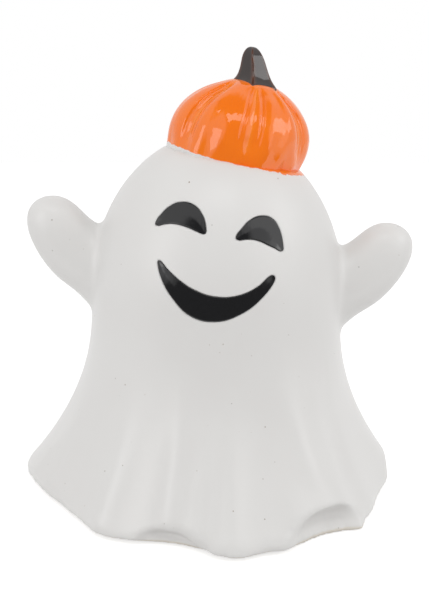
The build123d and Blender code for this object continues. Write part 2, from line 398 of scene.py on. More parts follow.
# %% Draw the strokes of the face
FACE_STROKES = {
    "right_eye": (
        (
            (-18.2, 103.0), (-18.1, 103.6), (-16.3, 106.1), (-13.3, 108.8), (-9.5, 110.2),
            (-5.8, 109.6), (-3.0, 106.9), (-1.8, 102.4), (-1.9, 101.8),
        ),
        (
            (-18.0, 102.8), (-17.4, 102.7), (-15.2, 103.4), (-12.6, 103.8), (-10.0, 103.6),
            (-7.4, 103.0), (-4.9, 102.1), (-2.7, 101.4), (-2.1, 101.5),
        ),
    ),
    "left_eye": (
        (
            (7.6, 100.1), (7.7, 100.8), (9.3, 102.7), (12.2, 105.2), (15.7, 106.1),
            (19.2, 105.0), (21.5, 101.9), (22.9, 96.1), (22.9, 95.4),
        ),
        (
            (7.8, 99.8), (8.5, 99.5), (10.8, 99.6), (13.0, 99.4), (15.3, 98.7),
            (17.6, 97.5), (20.0, 96.2), (22.2, 95.0), (22.7, 95.1),
        ),
    ),
    "mouth": (
        (
            (-17.2, 92.4), (-16.7, 92.4), (-14.4, 90.2), (-10.3, 86.9), (-5.4, 84.1),
            (1.1, 82.2), (8.2, 82.4), (14.4, 84.7), (19.1, 88.0), (19.9, 87.8),
        ),
        (
            (-17.4, 92.1), (-17.4, 91.4), (-16.2, 86.9), (-12.6, 80.9), (-6.8, 75.5),
            (1.1, 73.9), (8.9, 76.1), (15.7, 80.8), (20.1, 86.3), (20.2, 87.2),
        ),
    ),
}
STROKE_STEPS = 32
GRID_CUTS = 18


def stroke(points):
    """A Bezier stroke through points of the front view, as a strip of edges."""
    curve = bpy.data.curves.new("stroke", "CURVE")
    curve.dimensions = "3D"
    curve.resolution_u = STROKE_STEPS
    spline = curve.splines.new("BEZIER")
    spline.bezier_points.add(len(points) - 1)
    for knot, (x, z) in zip(spline.bezier_points, points):
        knot.co = Vector((x, 0, z)) * MM
        knot.handle_left_type = "AUTO"
        knot.handle_right_type = "AUTO"
    piece = bpy.data.objects.new("stroke", curve)
    bpy.context.scene.collection.objects.link(piece)
    only(piece)
    bpy.ops.object.convert(target="MESH")
    return bpy.context.view_layer.objects.active


def face_grid(name):
    """A flat grid of quads between the two strokes of a face piece."""
    upper, lower = (stroke(points) for points in FACE_STROKES[name])
    only(lower, upper)
    bpy.ops.object.join()
    piece = bpy.context.view_layer.objects.active
    piece.name = name + "_glaze"
    edit(piece)
    bpy.ops.mesh.bridge_edge_loops(number_cuts=GRID_CUTS, interpolation="LINEAR")
    close_edit()
    return piece


face_grids = {name: face_grid(name) for name in FACE_STROKES}
print("face grids", {name: len(piece.data.polygons) for name, piece in face_grids.items()})

# %% [markdown]
# The dishes follow the same outlines as the glaze, so a point of the skin has to know how far
# inside an outline it lies in the front view. A search tree of the border gives the distance,
# and the grid itself tells inside from outside.

# %% Measure from the outlines
FAR_OUTSIDE = -9.0
ON_GRID = 0.005


def border_points(piece):
    """The outline of a grid as a search tree."""
    edit(piece)
    bpy.ops.mesh.region_to_loop()
    close_edit()
    return tree_of([vertex.co / MM for vertex in piece.data.vertices if vertex.select])


def face_field(piece):
    """The faces of a grid, to find the nearest place on them."""
    corners = [vertex.co / MM for vertex in piece.data.vertices]
    return BVHTree.FromPolygons(corners, [polygon.vertices[:] for polygon in piece.data.polygons])


def depth_inside(point):
    """Signed distance from the nearest face outline in the front view, positive inside it."""
    flat = Vector((point.x, 0, point.z))
    best = FAR_OUTSIDE
    for name in FACE_STROKES:
        edge = face_borders[name].find(flat)[2]
        inside_outline = face_fields[name].find_nearest(flat)[3] < ON_GRID
        best = max(best, edge if inside_outline else -edge)
    return best


face_borders = {name: border_points(piece) for name, piece in face_grids.items()}
face_fields = {name: face_field(piece) for name, piece in face_grids.items()}
for name, piece in face_grids.items():
    across = [vertex.co.x / MM for vertex in piece.data.vertices]
    print(name, "is", round(max(across) - min(across), 1), "mm wide")

# %% [markdown]
# A dish needs a crisp rim, and the even mesh of the skin is too coarse for it. A finer mesh all
# over would be heavy, so Subdivide works only on the faces along the outlines.

# %% Make the skin finer along the outlines
FACE_TOP = 114
FACE_HALF_WIDTH = 27
REFINE_REACH = 2.0
REFINE_CUTS = 2


def in_front(point):
    """Whether a point is on the face side of the head."""
    level_with_face = FACE_BOTTOM < point.z < FACE_TOP
    return point.y < FACE_FRONT and level_with_face and abs(point.x) < FACE_HALF_WIDTH


edit(skin, action="DESELECT")
close_edit()
for polygon in skin.data.polygons:
    centre = polygon.center / MM
    polygon.select = in_front(centre) and abs(depth_inside(centre)) < REFINE_REACH
bpy.ops.object.mode_set(mode="EDIT")
bpy.ops.mesh.select_mode(type="FACE")
bpy.ops.mesh.subdivide(number_cuts=REFINE_CUTS)
close_edit()
print("skin has", len(skin.data.polygons), "faces")

# %% [markdown]
# The black glaze lies in its dish like a puddle: level with the clay at the rim, a little lower
# in the middle. Shrinkwrap would lay the flat grids on the head, but without the dip. A ray from
# the front finds the skin instead, and the distance to the border says how far to sink.

# %% Lay the glaze on the head
PUDDLE_EDGE = 0.22
PUDDLE_DIP = 0.25
PUDDLE_REACH = 4.0
BEFORE_FACE = Vector((0, -200, 0)) * MM
TOWARDS_BACK = Vector((0, 1, 0))

for name, piece in face_grids.items():
    for vertex in piece.data.vertices:
        flat = Vector((vertex.co.x, 0, vertex.co.z))
        _, place, normal, _ = skin.ray_cast(flat + BEFORE_FACE, TOWARDS_BACK)
        edge = face_borders[name].find(flat / MM)[2]
        sunk = PUDDLE_EDGE + PUDDLE_DIP * (1 - (1 - min(edge / PUDDLE_REACH, 1)) ** 2)
        vertex.co = place - normal * (sunk * MM)
print("glaze sunk by", PUDDLE_EDGE, "to", PUDDLE_EDGE + PUDDLE_DIP, "mm")

# %% [markdown]
# Now the skin is pressed in under the glaze, with a rounded rim that starts just outside the
# outline, and Solidify gives the glaze its thickness.

# %% Press the dishes and thicken the glaze
RECESS_DEPTH = 1.7
RIM_WIDTH = 1.1
RIM_OUTSIDE = 0.3
GLAZE_THICKNESS = 0.35


def recess(point):
    """How far a point of the skin is pressed in, from 0 to 1."""
    if not in_front(point):
        return 0
    return eased((depth_inside(point) + RIM_OUTSIDE) / RIM_WIDTH)


def face_outwards():
    """Turn all faces of the piece in edit mode outwards, and leave edit mode."""
    bpy.ops.mesh.select_all(action="SELECT")
    bpy.ops.mesh.normals_make_consistent(inside=False)
    close_edit()


push(skin, -RECESS_DEPTH, weigh(skin, "dishes", recess))
for piece in face_grids.values():
    shaped(piece, "SOLIDIFY", thickness=GLAZE_THICKNESS * MM, offset=-1)
    edit(piece)
    face_outwards()
    bpy.ops.object.shade_smooth()
    print(piece.name, "has", len(piece.data.polygons), "faces")

# %% [markdown]
# ## The hollow inside
# The casting was drained through a hole in the base. The inner patches that were set aside are
# joined into a core, closed below the base, and a Boolean takes the core out of the skin.

# %% Hollow the casting
CORE_FOOT = 2.0

only(*inside)
bpy.ops.object.join()
core = bpy.context.view_layer.objects.active
edit(core, "EDGE")
bpy.ops.mesh.remove_doubles(threshold=MERGE * MM)
bpy.ops.mesh.select_all(action="DESELECT")
bpy.ops.mesh.select_non_manifold()
bpy.ops.mesh.extrude_region_move(TRANSFORM_OT_translate={"value": (0, 0, -CORE_FOOT * MM)})
bpy.ops.mesh.edge_face_add()
face_outwards()
shaped(skin, "BOOLEAN", operation="DIFFERENCE", object=core, solver="EXACT")
bpy.data.objects.remove(core)
print("hollow skin has", len(skin.data.polygons), "faces")

# %% [markdown]
# ## The pumpkin hat
# Half a pumpkin sits tilted on the crown. A sphere could be squashed to it, but its foot would
# not follow the head. So the flat seat of the CAD hat is taken as the first face of a new mesh,
# and the hat's own directions are measured from it.

# %% Find the seat and the top of the hat


def flat_patch(patches, direction):
    """The patch that faces most along a direction."""
    return max(patches, key=lambda patch: patch.data.polygons[0].normal.dot(Vector(direction)))


def centre_of_area(patch):
    """Middle of a flat patch, weighted by area."""
    area = sum(polygon.area for polygon in patch.data.polygons)
    return sum((polygon.center * polygon.area for polygon in patch.data.polygons), Vector()) / area


hat_patches = loose_patches("pumpkin_hat")
hat = flat_patch(hat_patches, (0, 0, -1))
hat_top = centre_of_area(flat_patch(hat_patches, (0, 0, 1)))
hat_seat = centre_of_area(hat)
hat_up = -hat.data.polygons[0].normal.copy()
hat_side = (Vector((1, 0, 0)) - hat_up * hat_up.x).normalized()
hat_front = hat_side.cross(hat_up)
hat_rise = (hat_top - hat_seat).dot(hat_up)
hat.name = "pumpkin_dome"
print("hat seat", hat_seat / MM, "up", hat_up, "rise", hat_rise / MM)

# %% [markdown]
# The seat is drawn up ring by ring with Extrude and Scale: out to the bulge, in over the dome,
# and flat under the stalk. A Spin of a profile would be round, while the seat is an oval that
# follows the head. The first rings lie below the seat, so that no gap shows under the hat.

# %% Work out the rings of the dome
BULGE_LEVEL = 7.5
BULGE_SCALE = 1.042
DOME_HEIGHT = 19.3
DOME_POWER = 1.08
FOOT_DEPTH = 1.8
SUNK_RINGS = ((-FOOT_DEPTH, 0.93), (-FOOT_DEPTH, 0.985), (-0.6, 0.998))
FOOT_LEVELS = (0.3, 1.6, 3.4, 5.4, BULGE_LEVEL)
DOME_ANGLES = (10, 20, 30, 40, 50, 59, 67)
TOP_RINGS = ((0.6, 0.31), (0.9, 0.2), (0.9, 0.1))

rings = list(SUNK_RINGS)
for level in FOOT_LEVELS:
    swell = math.sin(math.radians(90 * level / BULGE_LEVEL))
    rings.append((level, 1 + (BULGE_SCALE - 1) * swell))
for angle in DOME_ANGLES:
    level = BULGE_LEVEL + DOME_HEIGHT * math.sin(math.radians(angle))
    rings.append((level, BULGE_SCALE * math.cos(math.radians(angle)) ** DOME_POWER))
for over_top, scale in TOP_RINGS:
    rings.append((hat_rise / MM + over_top, scale))
print(len(rings), "rings up to", round(rings[-1][0], 1), "mm over the seat")

# %% [markdown]
# After the rings, Subdivision rounds the dome. The hat in the photograph nods a little more than
# the solid one, so the finished dome is turned about the middle of its bulge.

# %% Draw the dome up from the seat
FIRST_SCALE = 0.8
DOME_LEVELS = 2
HAT_NOD = 2.3


def hat_axis(level):
    """Point of the hat's leaning axis at a level in millimetres above the seat."""
    return hat_seat + (hat_top - hat_seat) * (level * MM / hat_rise)


edit(hat, "FACE")
bpy.ops.mesh.remove_doubles(threshold=MERGE * MM)
bpy.ops.mesh.dissolve_faces()
bpy.ops.mesh.flip_normals()
level, scale = -FOOT_DEPTH, FIRST_SCALE
bpy.ops.transform.resize(value=(scale,) * 3, center_override=hat_axis(0))
bpy.ops.transform.translate(value=hat_axis(level) - hat_axis(0))
for next_level, next_scale in rings:
    step = hat_axis(next_level) - hat_axis(level)
    bpy.ops.mesh.extrude_region_move(TRANSFORM_OT_translate={"value": step})
    bpy.ops.transform.resize(value=(next_scale / scale,) * 3, center_override=hat_axis(next_level))
    level, scale = next_level, next_scale
face_outwards()
shaped(hat, "SUBSURF", levels=DOME_LEVELS, render_levels=DOME_LEVELS)
nod = Matrix.Rotation(math.radians(-HAT_NOD), 3, hat_front)
pivot = hat_axis(BULGE_LEVEL)
hat.data.transform(Matrix.Translation(pivot) @ nod.to_4x4() @ Matrix.Translation(-pivot))
print("dome has", len(hat.data.polygons), "faces")

# %% [markdown]
# The ribs of this pumpkin are pairs of fine grooves with a narrow rib between them, in the middle
# of a wide shallow valley. Both are pressed in with Displace, weighted by the angle round the
# hat, so that they run up the dome and close in on the stalk as real ribs do.

# %% Find places on the hat
# Each rib: its angle from the front, and half the angle between its two grooves.
RIBS = ((-112, 6), (-52, 5.5), (8, 9), (67, 5), (122, 6), (178, 7))


def on_hat(point):
    """Angle from the front, level above the seat and distance from the hat's axis of a point."""
    arm = point - hat_seat / MM
    level = arm.dot(hat_up)
    arm = point - hat_axis(level) / MM
    side, front = arm.dot(hat_side), arm.dot(hat_front)
    return math.degrees(math.atan2(side, front)), level, math.hypot(side, front)


def from_rib(azimuth):
    """Angle to the middle of the nearest rib, and half the gap between its grooves."""
    angles = [(abs((azimuth - middle + 180) % 360 - 180), half_gap) for middle, half_gap in RIBS]
    return min(angles)


hat_girth = max(on_hat(vertex.co / MM)[2] for vertex in hat.data.vertices)
print("hat reaches", round(hat_girth, 1), "mm from its axis")

# %% [markdown]
# The grooves fade towards the foot, where the brush flooded them with glaze, and the brush left
# thick streaks along the ribs. Smooth noise that is stretched up the dome gives such streaks.

# %% Crease the dome
STALK_FOOT = 7.0
VALLEY_ANGLE = 22.0
VALLEY_DEPTH = 1.5
VALLEY_POWER = 1.6
VALLEY_START = 0.6
VALLEY_RUN_OUT = 7.0
GROOVE_WIDTH = 0.55
GROOVE_DEPTH = 0.5
GROOVE_START = 2.5
GROOVE_RUN_IN = 11.0
GROOVE_END = STALK_FOOT + 1
GROOVE_RUN_OUT = 3.0
BRUSH_RELIEF = 0.9
BRUSH_CONTRAST = 0.7
BRUSH_WIDTH = 6.0
BRUSH_LENGTH = 22.0
BRUSH_RUN_OUT = 5.0


def valley(point):
    """Weight of the wide valley along a rib."""
    azimuth, level, radius = on_hat(point)
    angle, _ = from_rib(azimuth)
    across = (1 - min(angle / VALLEY_ANGLE, 1)) ** VALLEY_POWER
    below_stalk = eased((radius - STALK_FOOT) / VALLEY_RUN_OUT)
    return across * eased((level - VALLEY_START) / BULGE_LEVEL) * below_stalk


def groove(point):
    """Weight of the two fine grooves of a rib."""
    azimuth, level, radius = on_hat(point)
    angle, half_gap = from_rib(azimuth)
    off = math.radians(angle - half_gap) * radius / GROOVE_WIDTH
    below_stalk = eased((radius - GROOVE_END) / GROOVE_RUN_OUT)
    return math.exp(-off * off) * eased((level - GROOVE_START) / GROOVE_RUN_IN) * below_stalk


def brushed(point):
    """Weight of the thick streaks of glaze that the brush left along the ribs."""
    azimuth, level, radius = on_hat(point)
    turn = math.radians(azimuth)
    round_hat = hat_girth / BRUSH_WIDTH
    along = level / BRUSH_LENGTH
    streak = noise.noise(Vector((round_hat * math.sin(turn), round_hat * math.cos(turn), along)))
    return eased(0.5 + BRUSH_CONTRAST * streak) * eased((radius - STALK_FOOT) / BRUSH_RUN_OUT)


streaks = weigh(hat, "streaks", brushed)
valleys = weigh(hat, "valleys", valley)
grooves = weigh(hat, "grooves", groove)
push(hat, -VALLEY_DEPTH, valleys)
push(hat, -GROOVE_DEPTH, grooves)
push(hat, -BRUSH_RELIEF, streaks)
bpy.ops.object.shade_smooth()
print("creased", len(RIBS), "ribs with two grooves each")

# %% [markdown]
# ## The stalk
# The brown stalk has five flat sides with a ridge between each two. A cone could be bent and
# cut, but drawing it up is simpler: a five-sided circle is extruded, scaled and shifted step by
# step, wide at the foot and leaning at the tip.

# %% Draw the stalk upright
STALK_LENGTH = 12.1
STALK_TURN = -8
STALK_SIDES = 5
SIDE_ANGLE = 360 / STALK_SIDES
# Each step: share of the length, radius, and shift to the side.
STALK_STEPS = (
    (-0.14, 8.9, 0.7),
    (0.02, 8.1, 0.65),
    (0.09, 7.1, 0.5),
    (0.2, 6.1, 0.2),
    (0.38, 5.15, -0.35),
    (0.58, 4.5, -1.0),
    (0.76, 3.8, -1.6),
    (0.89, 2.8, -2.0),
    (0.965, 1.8, -2.2),
    (1.0, 0.8, -2.2),
)


def stalk_axis(share, shift):
    """Middle of the upright stalk at a share of its length."""
    return Vector((shift, 0, share * STALK_LENGTH)) * MM


share, radius, shift = STALK_STEPS[0]
bpy.ops.object.select_all(action="DESELECT")
bpy.ops.mesh.primitive_circle_add(vertices=STALK_SIDES, radius=radius * MM, fill_type="NGON")
stalk = bpy.context.view_layer.objects.active
stalk.name = "stalk"
stalk.rotation_euler.z = math.radians(SIDE_ANGLE / 2 + STALK_TURN)
bpy.ops.object.transform_apply(rotation=True)
ridge_angle = math.atan2(stalk.data.vertices[0].co.x, -stalk.data.vertices[0].co.y)
edit(stalk, "FACE")
# One more corner in the middle of each side lets the sides stay flat later.
bpy.ops.mesh.subdivide(number_cuts=1)
bpy.ops.mesh.dissolve_faces()
bpy.ops.transform.translate(value=stalk_axis(share, shift))
for next_share, next_radius, next_shift in STALK_STEPS[1:]:
    centre = stalk_axis(next_share, next_shift)
    step = centre - stalk_axis(share, shift)
    bpy.ops.mesh.extrude_region_move(TRANSFORM_OT_translate={"value": step})
    bpy.ops.transform.resize(value=(next_radius / radius,) * 3, center_override=centre)
    share, radius, shift = next_share, next_radius, next_shift
face_outwards()
print("stalk has", len(stalk.data.polygons), "faces before Subdivision")

# %% [markdown]
# Subdivision would round the five sides to a cone. A crease on the edges of the ridges keeps the
# sides flat and the ridges in sight. The angle from the nearest ridge is stored for the glaze,
# before the stalk is tilted and set on the hat.

# %% Crease its ridges and set it on the hat
RIDGE_CREASE = 0.55
RIDGE_SPREAD = 14
RIDGE_NEAR = 9
UPRIGHT_RISE = 0.05
STALK_LEVELS = 3


def note(piece, name, value_of):
    """Store a value per vertex, from a function of a point in millimetres, for a material."""
    values = [value_of(vertex.co / MM) for vertex in piece.data.vertices]
    piece.data.attributes.new(name, "FLOAT", "POINT").data.foreach_set("value", values)


def off_ridge(point):
    """Angle in degrees from the nearest ridge of the upright stalk."""
    share = point.z / STALK_LENGTH
    shift = STALK_STEPS[0][2]
    for (low, _, start), (high, _, end) in zip(STALK_STEPS, STALK_STEPS[1:]):
        if share >= low:
            shift = start + (end - start) * min((share - low) / (high - low), 1)
    angle = math.degrees(math.atan2(point.x - shift, -point.y) - ridge_angle)
    return abs((angle + SIDE_ANGLE / 2) % SIDE_ANGLE - SIDE_ANGLE / 2)


edit(stalk, "FACE", "DESELECT")
close_edit()
for edge in stalk.data.edges:
    low, high = (stalk.data.vertices[index].co / MM for index in edge.vertices)
    on_ridge = max(off_ridge(low), off_ridge(high)) < RIDGE_NEAR
    edge.select = abs(high.z - low.z) > UPRIGHT_RISE and on_ridge
bpy.ops.object.mode_set(mode="EDIT")
bpy.ops.mesh.select_mode(type="EDGE")
bpy.ops.transform.edge_crease(value=RIDGE_CREASE)
close_edit()
shaped(stalk, "SUBSURF", levels=STALK_LEVELS, render_levels=STALK_LEVELS)
bpy.ops.object.shade_smooth()
note(stalk, "ridge_line", lambda point: eased(1 - off_ridge(point) / RIDGE_SPREAD))
stalk.matrix_world = Matrix((hat_side, -hat_front, hat_up)).transposed().to_4x4()
stalk.matrix_world.translation = hat_top
bpy.ops.object.transform_apply(location=True, rotation=True, scale=True)
print("stalk has", len(stalk.data.polygons), "faces")

# %% [markdown]
# ## Hand the pieces to the frame
# Each new piece rides on the one body and stands for the nodes that it replaces. The felt pads
# are right as they are and stay. The loose patches that were only measured are removed.

# %% Ride and replace
for left_over in [piece for piece in bpy.data.objects if "_copy" in piece.name]:
    bpy.data.objects.remove(left_over)
STANDS_FOR = (
    (skin, "white_glaze", ("body_shell", "right_arm", "left_arm")),
    (hat, "orange_glaze", ("pumpkin_hat",)),
    (stalk, "brown_glaze", ("hat_stem",)),
    *((piece, "black_glaze", (name,)) for name, piece in face_grids.items()),
)
for piece, slot, nodes in STANDS_FOR:
    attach(piece, "root")
    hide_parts(*nodes)
    piece.vertex_groups.clear()
    print(piece.name, "stands for", nodes)

# %% [markdown]
# ## Glazes
# Colours are written as sRGB hex values, as a colour picker shows them, and one function turns
# them to linear light. `add` makes a node with its settings and links, and `fill` does the
# links of the shader too. A Mix node numbers its sockets, so those for colours get names here.

# %% Helpers for materials
SHARE = 0
FIRST = 6
SECOND = 7
MIXED = 2


def linear(code):
    """Linear colour of an sRGB hex code."""
    parts = [int(code[place:place + 2], 16) / 255 for place in (1, 3, 5)]
    return [part / 12.92 if part <= 0.04045 else ((part + 0.055) / 1.055) ** 2.4 for part in parts] + [1]


def fill(tree, node, inputs):
    """Fill the inputs of a node with values or links."""
    for name, value in dict(inputs).items():
        if isinstance(value, bpy.types.NodeSocket):
            tree.links.new(value, node.inputs[name])
        else:
            node.inputs[name].default_value = value


def add(tree, kind, inputs=(), **settings):
    """Add a shader node, set it, and fill its inputs."""
    node = tree.nodes.new("ShaderNode" + kind)
    for name, value in settings.items():
        setattr(node, name, value)
    fill(tree, node, inputs)
    return node


def new_finish(name):
    """A new material with its node tree and its Principled shader."""
    finish = bpy.data.materials.new(name)
    finish.use_nodes = True
    return finish, finish.node_tree, finish.node_tree.nodes["Principled BSDF"]


def coat(piece, finish):
    """Give a piece one material."""
    piece.data.materials.clear()
    piece.data.materials.append(finish)
    print(finish.name, "covers", piece.name)


# %% [markdown]
# The body wears a satin white glaze over pale clay, a little warm, with iron specks of up to
# half a millimetre that burned through in the kiln. Specks could be scattered as tiny discs, but
# a Voronoi pattern puts them in the glaze: each cell holds one speck, and the cell's random
# colour says how large, how strong and how brown it is.

# %% Satin white glaze
# A satin glaze gives the eye an even tone and a broad soft sheen without sharp mirror images.
SPECK_CELL = 3.6
SPECK_RADIUS = 0.272
CLOUD_SIZE = 22.0

white, tree, shader = new_finish("satin_white_glaze")
place = add(tree, "TexCoord").outputs["Object"]
cells = add(tree, "TexVoronoi", {"Vector": place, "Scale": 1 / (SPECK_CELL * MM)})
picked = add(tree, "SeparateColor", {"Color": cells.outputs["Color"]}).outputs
reach = add(tree, "Math", {0: picked["Red"], 1: SPECK_RADIUS / SPECK_CELL}, operation="MULTIPLY")
speck = add(tree, "Math", {0: cells.outputs["Distance"], 1: reach.outputs[0]}, operation="LESS_THAN")
strength = add(tree, "Math", {0: speck.outputs[0], 1: picked["Green"]}, operation="MULTIPLY")
cloud = add(tree, "TexNoise", {"Vector": place, "Scale": 1 / (CLOUD_SIZE * MM), "Detail": 2.0})
tone = add(tree, "Mix", {
    SHARE: cloud.outputs["Fac"],
    FIRST: linear("#E2E0DE"),
    SECOND: linear("#E6E5E3"),
}, data_type="RGBA")
iron = add(tree, "Mix", {
    SHARE: picked["Blue"],
    FIRST: linear("#9C8873"),
    SECOND: linear("#A6A49F"),
}, data_type="RGBA")
glaze = add(tree, "Mix", {
    SHARE: strength.outputs[0],
    FIRST: tone.outputs[MIXED],
    SECOND: iron.outputs[MIXED],
}, data_type="RGBA")
print("one speck in each", SPECK_CELL, "mm, up to", 2 * SPECK_RADIUS, "mm across")

# %% [markdown]
# Where the hat was painted, the orange brush ran a little over the edge of the white. Such an
# edge could be painted on a UV map, but its height over the seat of the hat is enough: noise
# makes the line wavy, and a Map Range makes it crisp. The nod of the hat tilts the line.

# %% Orange that ran over the white
BRUSH_OVERRUN = 0.2
BRUSH_EDGE = 0.25
BRUSH_WAVE = 0.9
BRUSH_WAVE_LENGTH = 2.4


def brush_line(tree, place, up, start, end):
    """A wavy edge of paint, 0 at one height over the hat's seat and 1 at another."""
    height = add(tree, "VectorMath", {0: place, 1: up}, operation="DOT_PRODUCT")
    wobble = add(tree, "TexNoise", {
        "Vector": place,
        "Scale": 1 / (BRUSH_WAVE_LENGTH * MM),
        "Detail": 3.0,
    })
    wave = add(tree, "MapRange", {
        "Value": wobble.outputs["Fac"],
        "To Min": -BRUSH_WAVE * MM,
        "To Max": BRUSH_WAVE * MM,
    })
    edge = add(tree, "Math", {0: height.outputs["Value"], 1: wave.outputs[0]}, operation="ADD")
    painted = add(tree, "MapRange", {
        "Value": edge.outputs[0],
        "From Min": hat_seat.dot(up) + start * MM,
        "From Max": hat_seat.dot(up) + end * MM,
    })
    return painted.outputs[0]


ran_over = brush_line(tree, place, nod @ hat_up, -BRUSH_OVERRUN - BRUSH_EDGE, -BRUSH_OVERRUN)
with_orange = add(tree, "Mix", {
    SHARE: ran_over,
    FIRST: glaze.outputs[MIXED],
    SECOND: linear("#F57A14"),
}, data_type="RGBA")
print("orange runs", BRUSH_OVERRUN, "mm over the white")

# %% [markdown]
# The foot was wiped clean before firing, or the figure would have stuck to the kiln shelf, so
# bare matt clay shows there. Above it the glaze lies with a faint waviness, which is too low to
# model and comes from a Bump.

# %% The wiped foot and the lie of the glaze
SATIN = 0.36
WIPED_FOOT = 2.2
WIPED_EDGE = 0.4
GLAZE_WAVE_LENGTH = 3.5
GLAZE_WAVE = 0.05

upward = add(tree, "SeparateXYZ", {"Vector": place})
wiped = add(tree, "MapRange", {
    "Value": upward.outputs["Z"],
    "From Min": WIPED_FOOT * MM,
    "From Max": (WIPED_FOOT - WIPED_EDGE) * MM,
})
with_clay = add(tree, "Mix", {
    SHARE: wiped.outputs[0],
    FIRST: with_orange.outputs[MIXED],
    SECOND: linear("#E8E2D8"),
}, data_type="RGBA")
glazed = add(tree, "MapRange", {"Value": ran_over, "To Min": SATIN, "To Max": 0.12})
matt = add(tree, "MapRange", {"Value": wiped.outputs[0], "To Min": glazed.outputs[0], "To Max": 0.85})
peel = add(tree, "TexNoise", {"Vector": place, "Scale": 1 / (GLAZE_WAVE_LENGTH * MM), "Detail": 1.0})
wavy = add(tree, "Bump", {"Height": peel.outputs["Fac"], "Strength": 0.25, "Distance": GLAZE_WAVE * MM})
fill(tree, shader, {
    "Base Color": with_clay.outputs[MIXED],
    "Roughness": matt.outputs[0],
    "Normal": wavy.outputs[0],
    "IOR": 1.5,
})
coat(skin, white)

# %% [markdown]
# The hat wears a thick gloss orange, put on with a brush. It is deep where it pooled and a
# little yellow where the narrow ribs thinned it. One flat orange would look like plastic, so
# noise mixes two tones, and a value that is stored on the mesh finds the ribs.

# %% Gloss orange glaze
# A thick gloss glaze gives the eye a deep colour with sharp images of the soft boxes and walls.
THIN_WIDTH = 0.9
THIN_MOST = 0.7
THIN_START = 1.0
THIN_RUN_IN = 6.0
POOL_SIZE = 7.0
STREAK_WIDTH = 3.5
STREAK_STRETCH = (1, 1, 0.3)
STREAK_HEIGHT = 0.25


def rib_crest(point):
    """How thin the glaze is on a narrow rib, from 0 to 1."""
    azimuth, level, radius = on_hat(point)
    angle, _ = from_rib(azimuth)
    off = math.radians(angle) * radius / THIN_WIDTH
    return THIN_MOST * math.exp(-off * off) * eased((level - THIN_START) / THIN_RUN_IN)


note(hat, "thin_glaze", rib_crest)
orange, tree, shader = new_finish("gloss_orange_glaze")
place = add(tree, "TexCoord").outputs["Object"]
pools = add(tree, "TexNoise", {"Vector": place, "Scale": 1 / (POOL_SIZE * MM), "Detail": 3.0})
thin = add(tree, "Attribute", attribute_name="thin_glaze")
patchy = add(tree, "Math", {0: thin.outputs["Fac"], 1: pools.outputs["Fac"]}, operation="MULTIPLY")
deep = add(tree, "Mix", {
    SHARE: pools.outputs["Fac"],
    FIRST: linear("#FB7404"),
    SECOND: linear("#FF8010"),
}, data_type="RGBA")
yellow = add(tree, "Mix", {
    SHARE: patchy.outputs[0],
    FIRST: deep.outputs[MIXED],
    SECOND: linear("#FF9220"),
}, data_type="RGBA")
drawn_out = add(tree, "VectorMath", {0: place, 1: STREAK_STRETCH}, operation="MULTIPLY")
streak = add(tree, "TexNoise", {
    "Vector": drawn_out.outputs[0],
    "Scale": 1 / (STREAK_WIDTH * MM),
    "Detail": 2.0,
})
flowed = add(tree, "Bump", {
    "Height": streak.outputs["Fac"],
    "Strength": 0.5,
    "Distance": STREAK_HEIGHT * MM,
})
fill(tree, shader, {"Normal": flowed.outputs[0], "IOR": 1.6})
coat(hat, orange)

# %% [markdown]
# On the viewer's left the brush stopped short of the hat's foot and left it white. The same wavy
# line serves here, slanted across the hat, with white and its satin sheen below it.

# %% White that the brush left at the foot of the hat
BRUSH_SLANT = 6.0
BRUSH_STOP = 0.8

slant = math.radians(BRUSH_SLANT)
slanted_up = hat_up * math.cos(slant) + hat_side * math.sin(slant)
left_white = brush_line(tree, place, slanted_up, -BRUSH_STOP, -BRUSH_STOP - BRUSH_EDGE)
foot = add(tree, "Mix", {
    SHARE: left_white,
    FIRST: yellow.outputs[MIXED],
    SECOND: linear("#E4E2E0"),
}, data_type="RGBA")
gloss = add(tree, "MapRange", {"Value": left_white, "To Min": 0.07, "To Max": SATIN})
fill(tree, shader, {"Base Color": foot.outputs[MIXED], "Roughness": gloss.outputs[0]})
print("orange stops on a slant of", BRUSH_SLANT, "degrees")

# %% [markdown]
# The stalk wears a dark brown gloss glaze. It ran off the ridges in the kiln, so that they show
# rusty. A hand-painted mask would do, but the angle stored with the stalk already knows where
# the ridges are, and noise breaks the line.

# %% Gloss brown glaze
# A dark gloss glaze gives the eye almost only the room that it mirrors, with thin rusty ridges.
WORN_SIZE = 1.6
LUMP_SIZE = 4.0
LUMP_HEIGHT = 0.4

brown, tree, shader = new_finish("gloss_brown_glaze")
place = add(tree, "TexCoord").outputs["Object"]
ridge = add(tree, "Attribute", attribute_name="ridge_line")
worn = add(tree, "TexNoise", {"Vector": place, "Scale": 1 / (WORN_SIZE * MM), "Detail": 2.0})
bare = add(tree, "Math", {0: ridge.outputs["Fac"], 1: worn.outputs["Fac"]}, operation="MULTIPLY")
colour = add(tree, "Mix", {
    SHARE: bare.outputs[0],
    FIRST: linear("#241712"),
    SECOND: linear("#6A3A22"),
}, data_type="RGBA")
lumps = add(tree, "TexNoise", {"Vector": place, "Scale": 1 / (LUMP_SIZE * MM), "Detail": 0.0})
pressed = add(tree, "Bump", {
    "Height": lumps.outputs["Fac"],
    "Strength": 0.5,
    "Distance": LUMP_HEIGHT * MM,
})
fill(tree, shader, {
    "Base Color": colour.outputs[MIXED],
    "Roughness": 0.08,
    "Normal": pressed.outputs[0],
    "IOR": 1.6,
})
coat(stalk, brown)

# %% [markdown]
# The eyes and the mouth are filled with gloss black. It is never quite even: the brush leaves
# faint strokes. They are too low to model, so a Bump and two near blacks draw them.

# %% Gloss black glaze
# A gloss black gives the eye a deep dark with a soft image of the bright walls at its edges.
# The hairs of a brush are about 0.1 mm thick, so their marks are drawn coarser, to show.
STROKE_SIZE = 1.2
STROKE_HEIGHT = 0.05

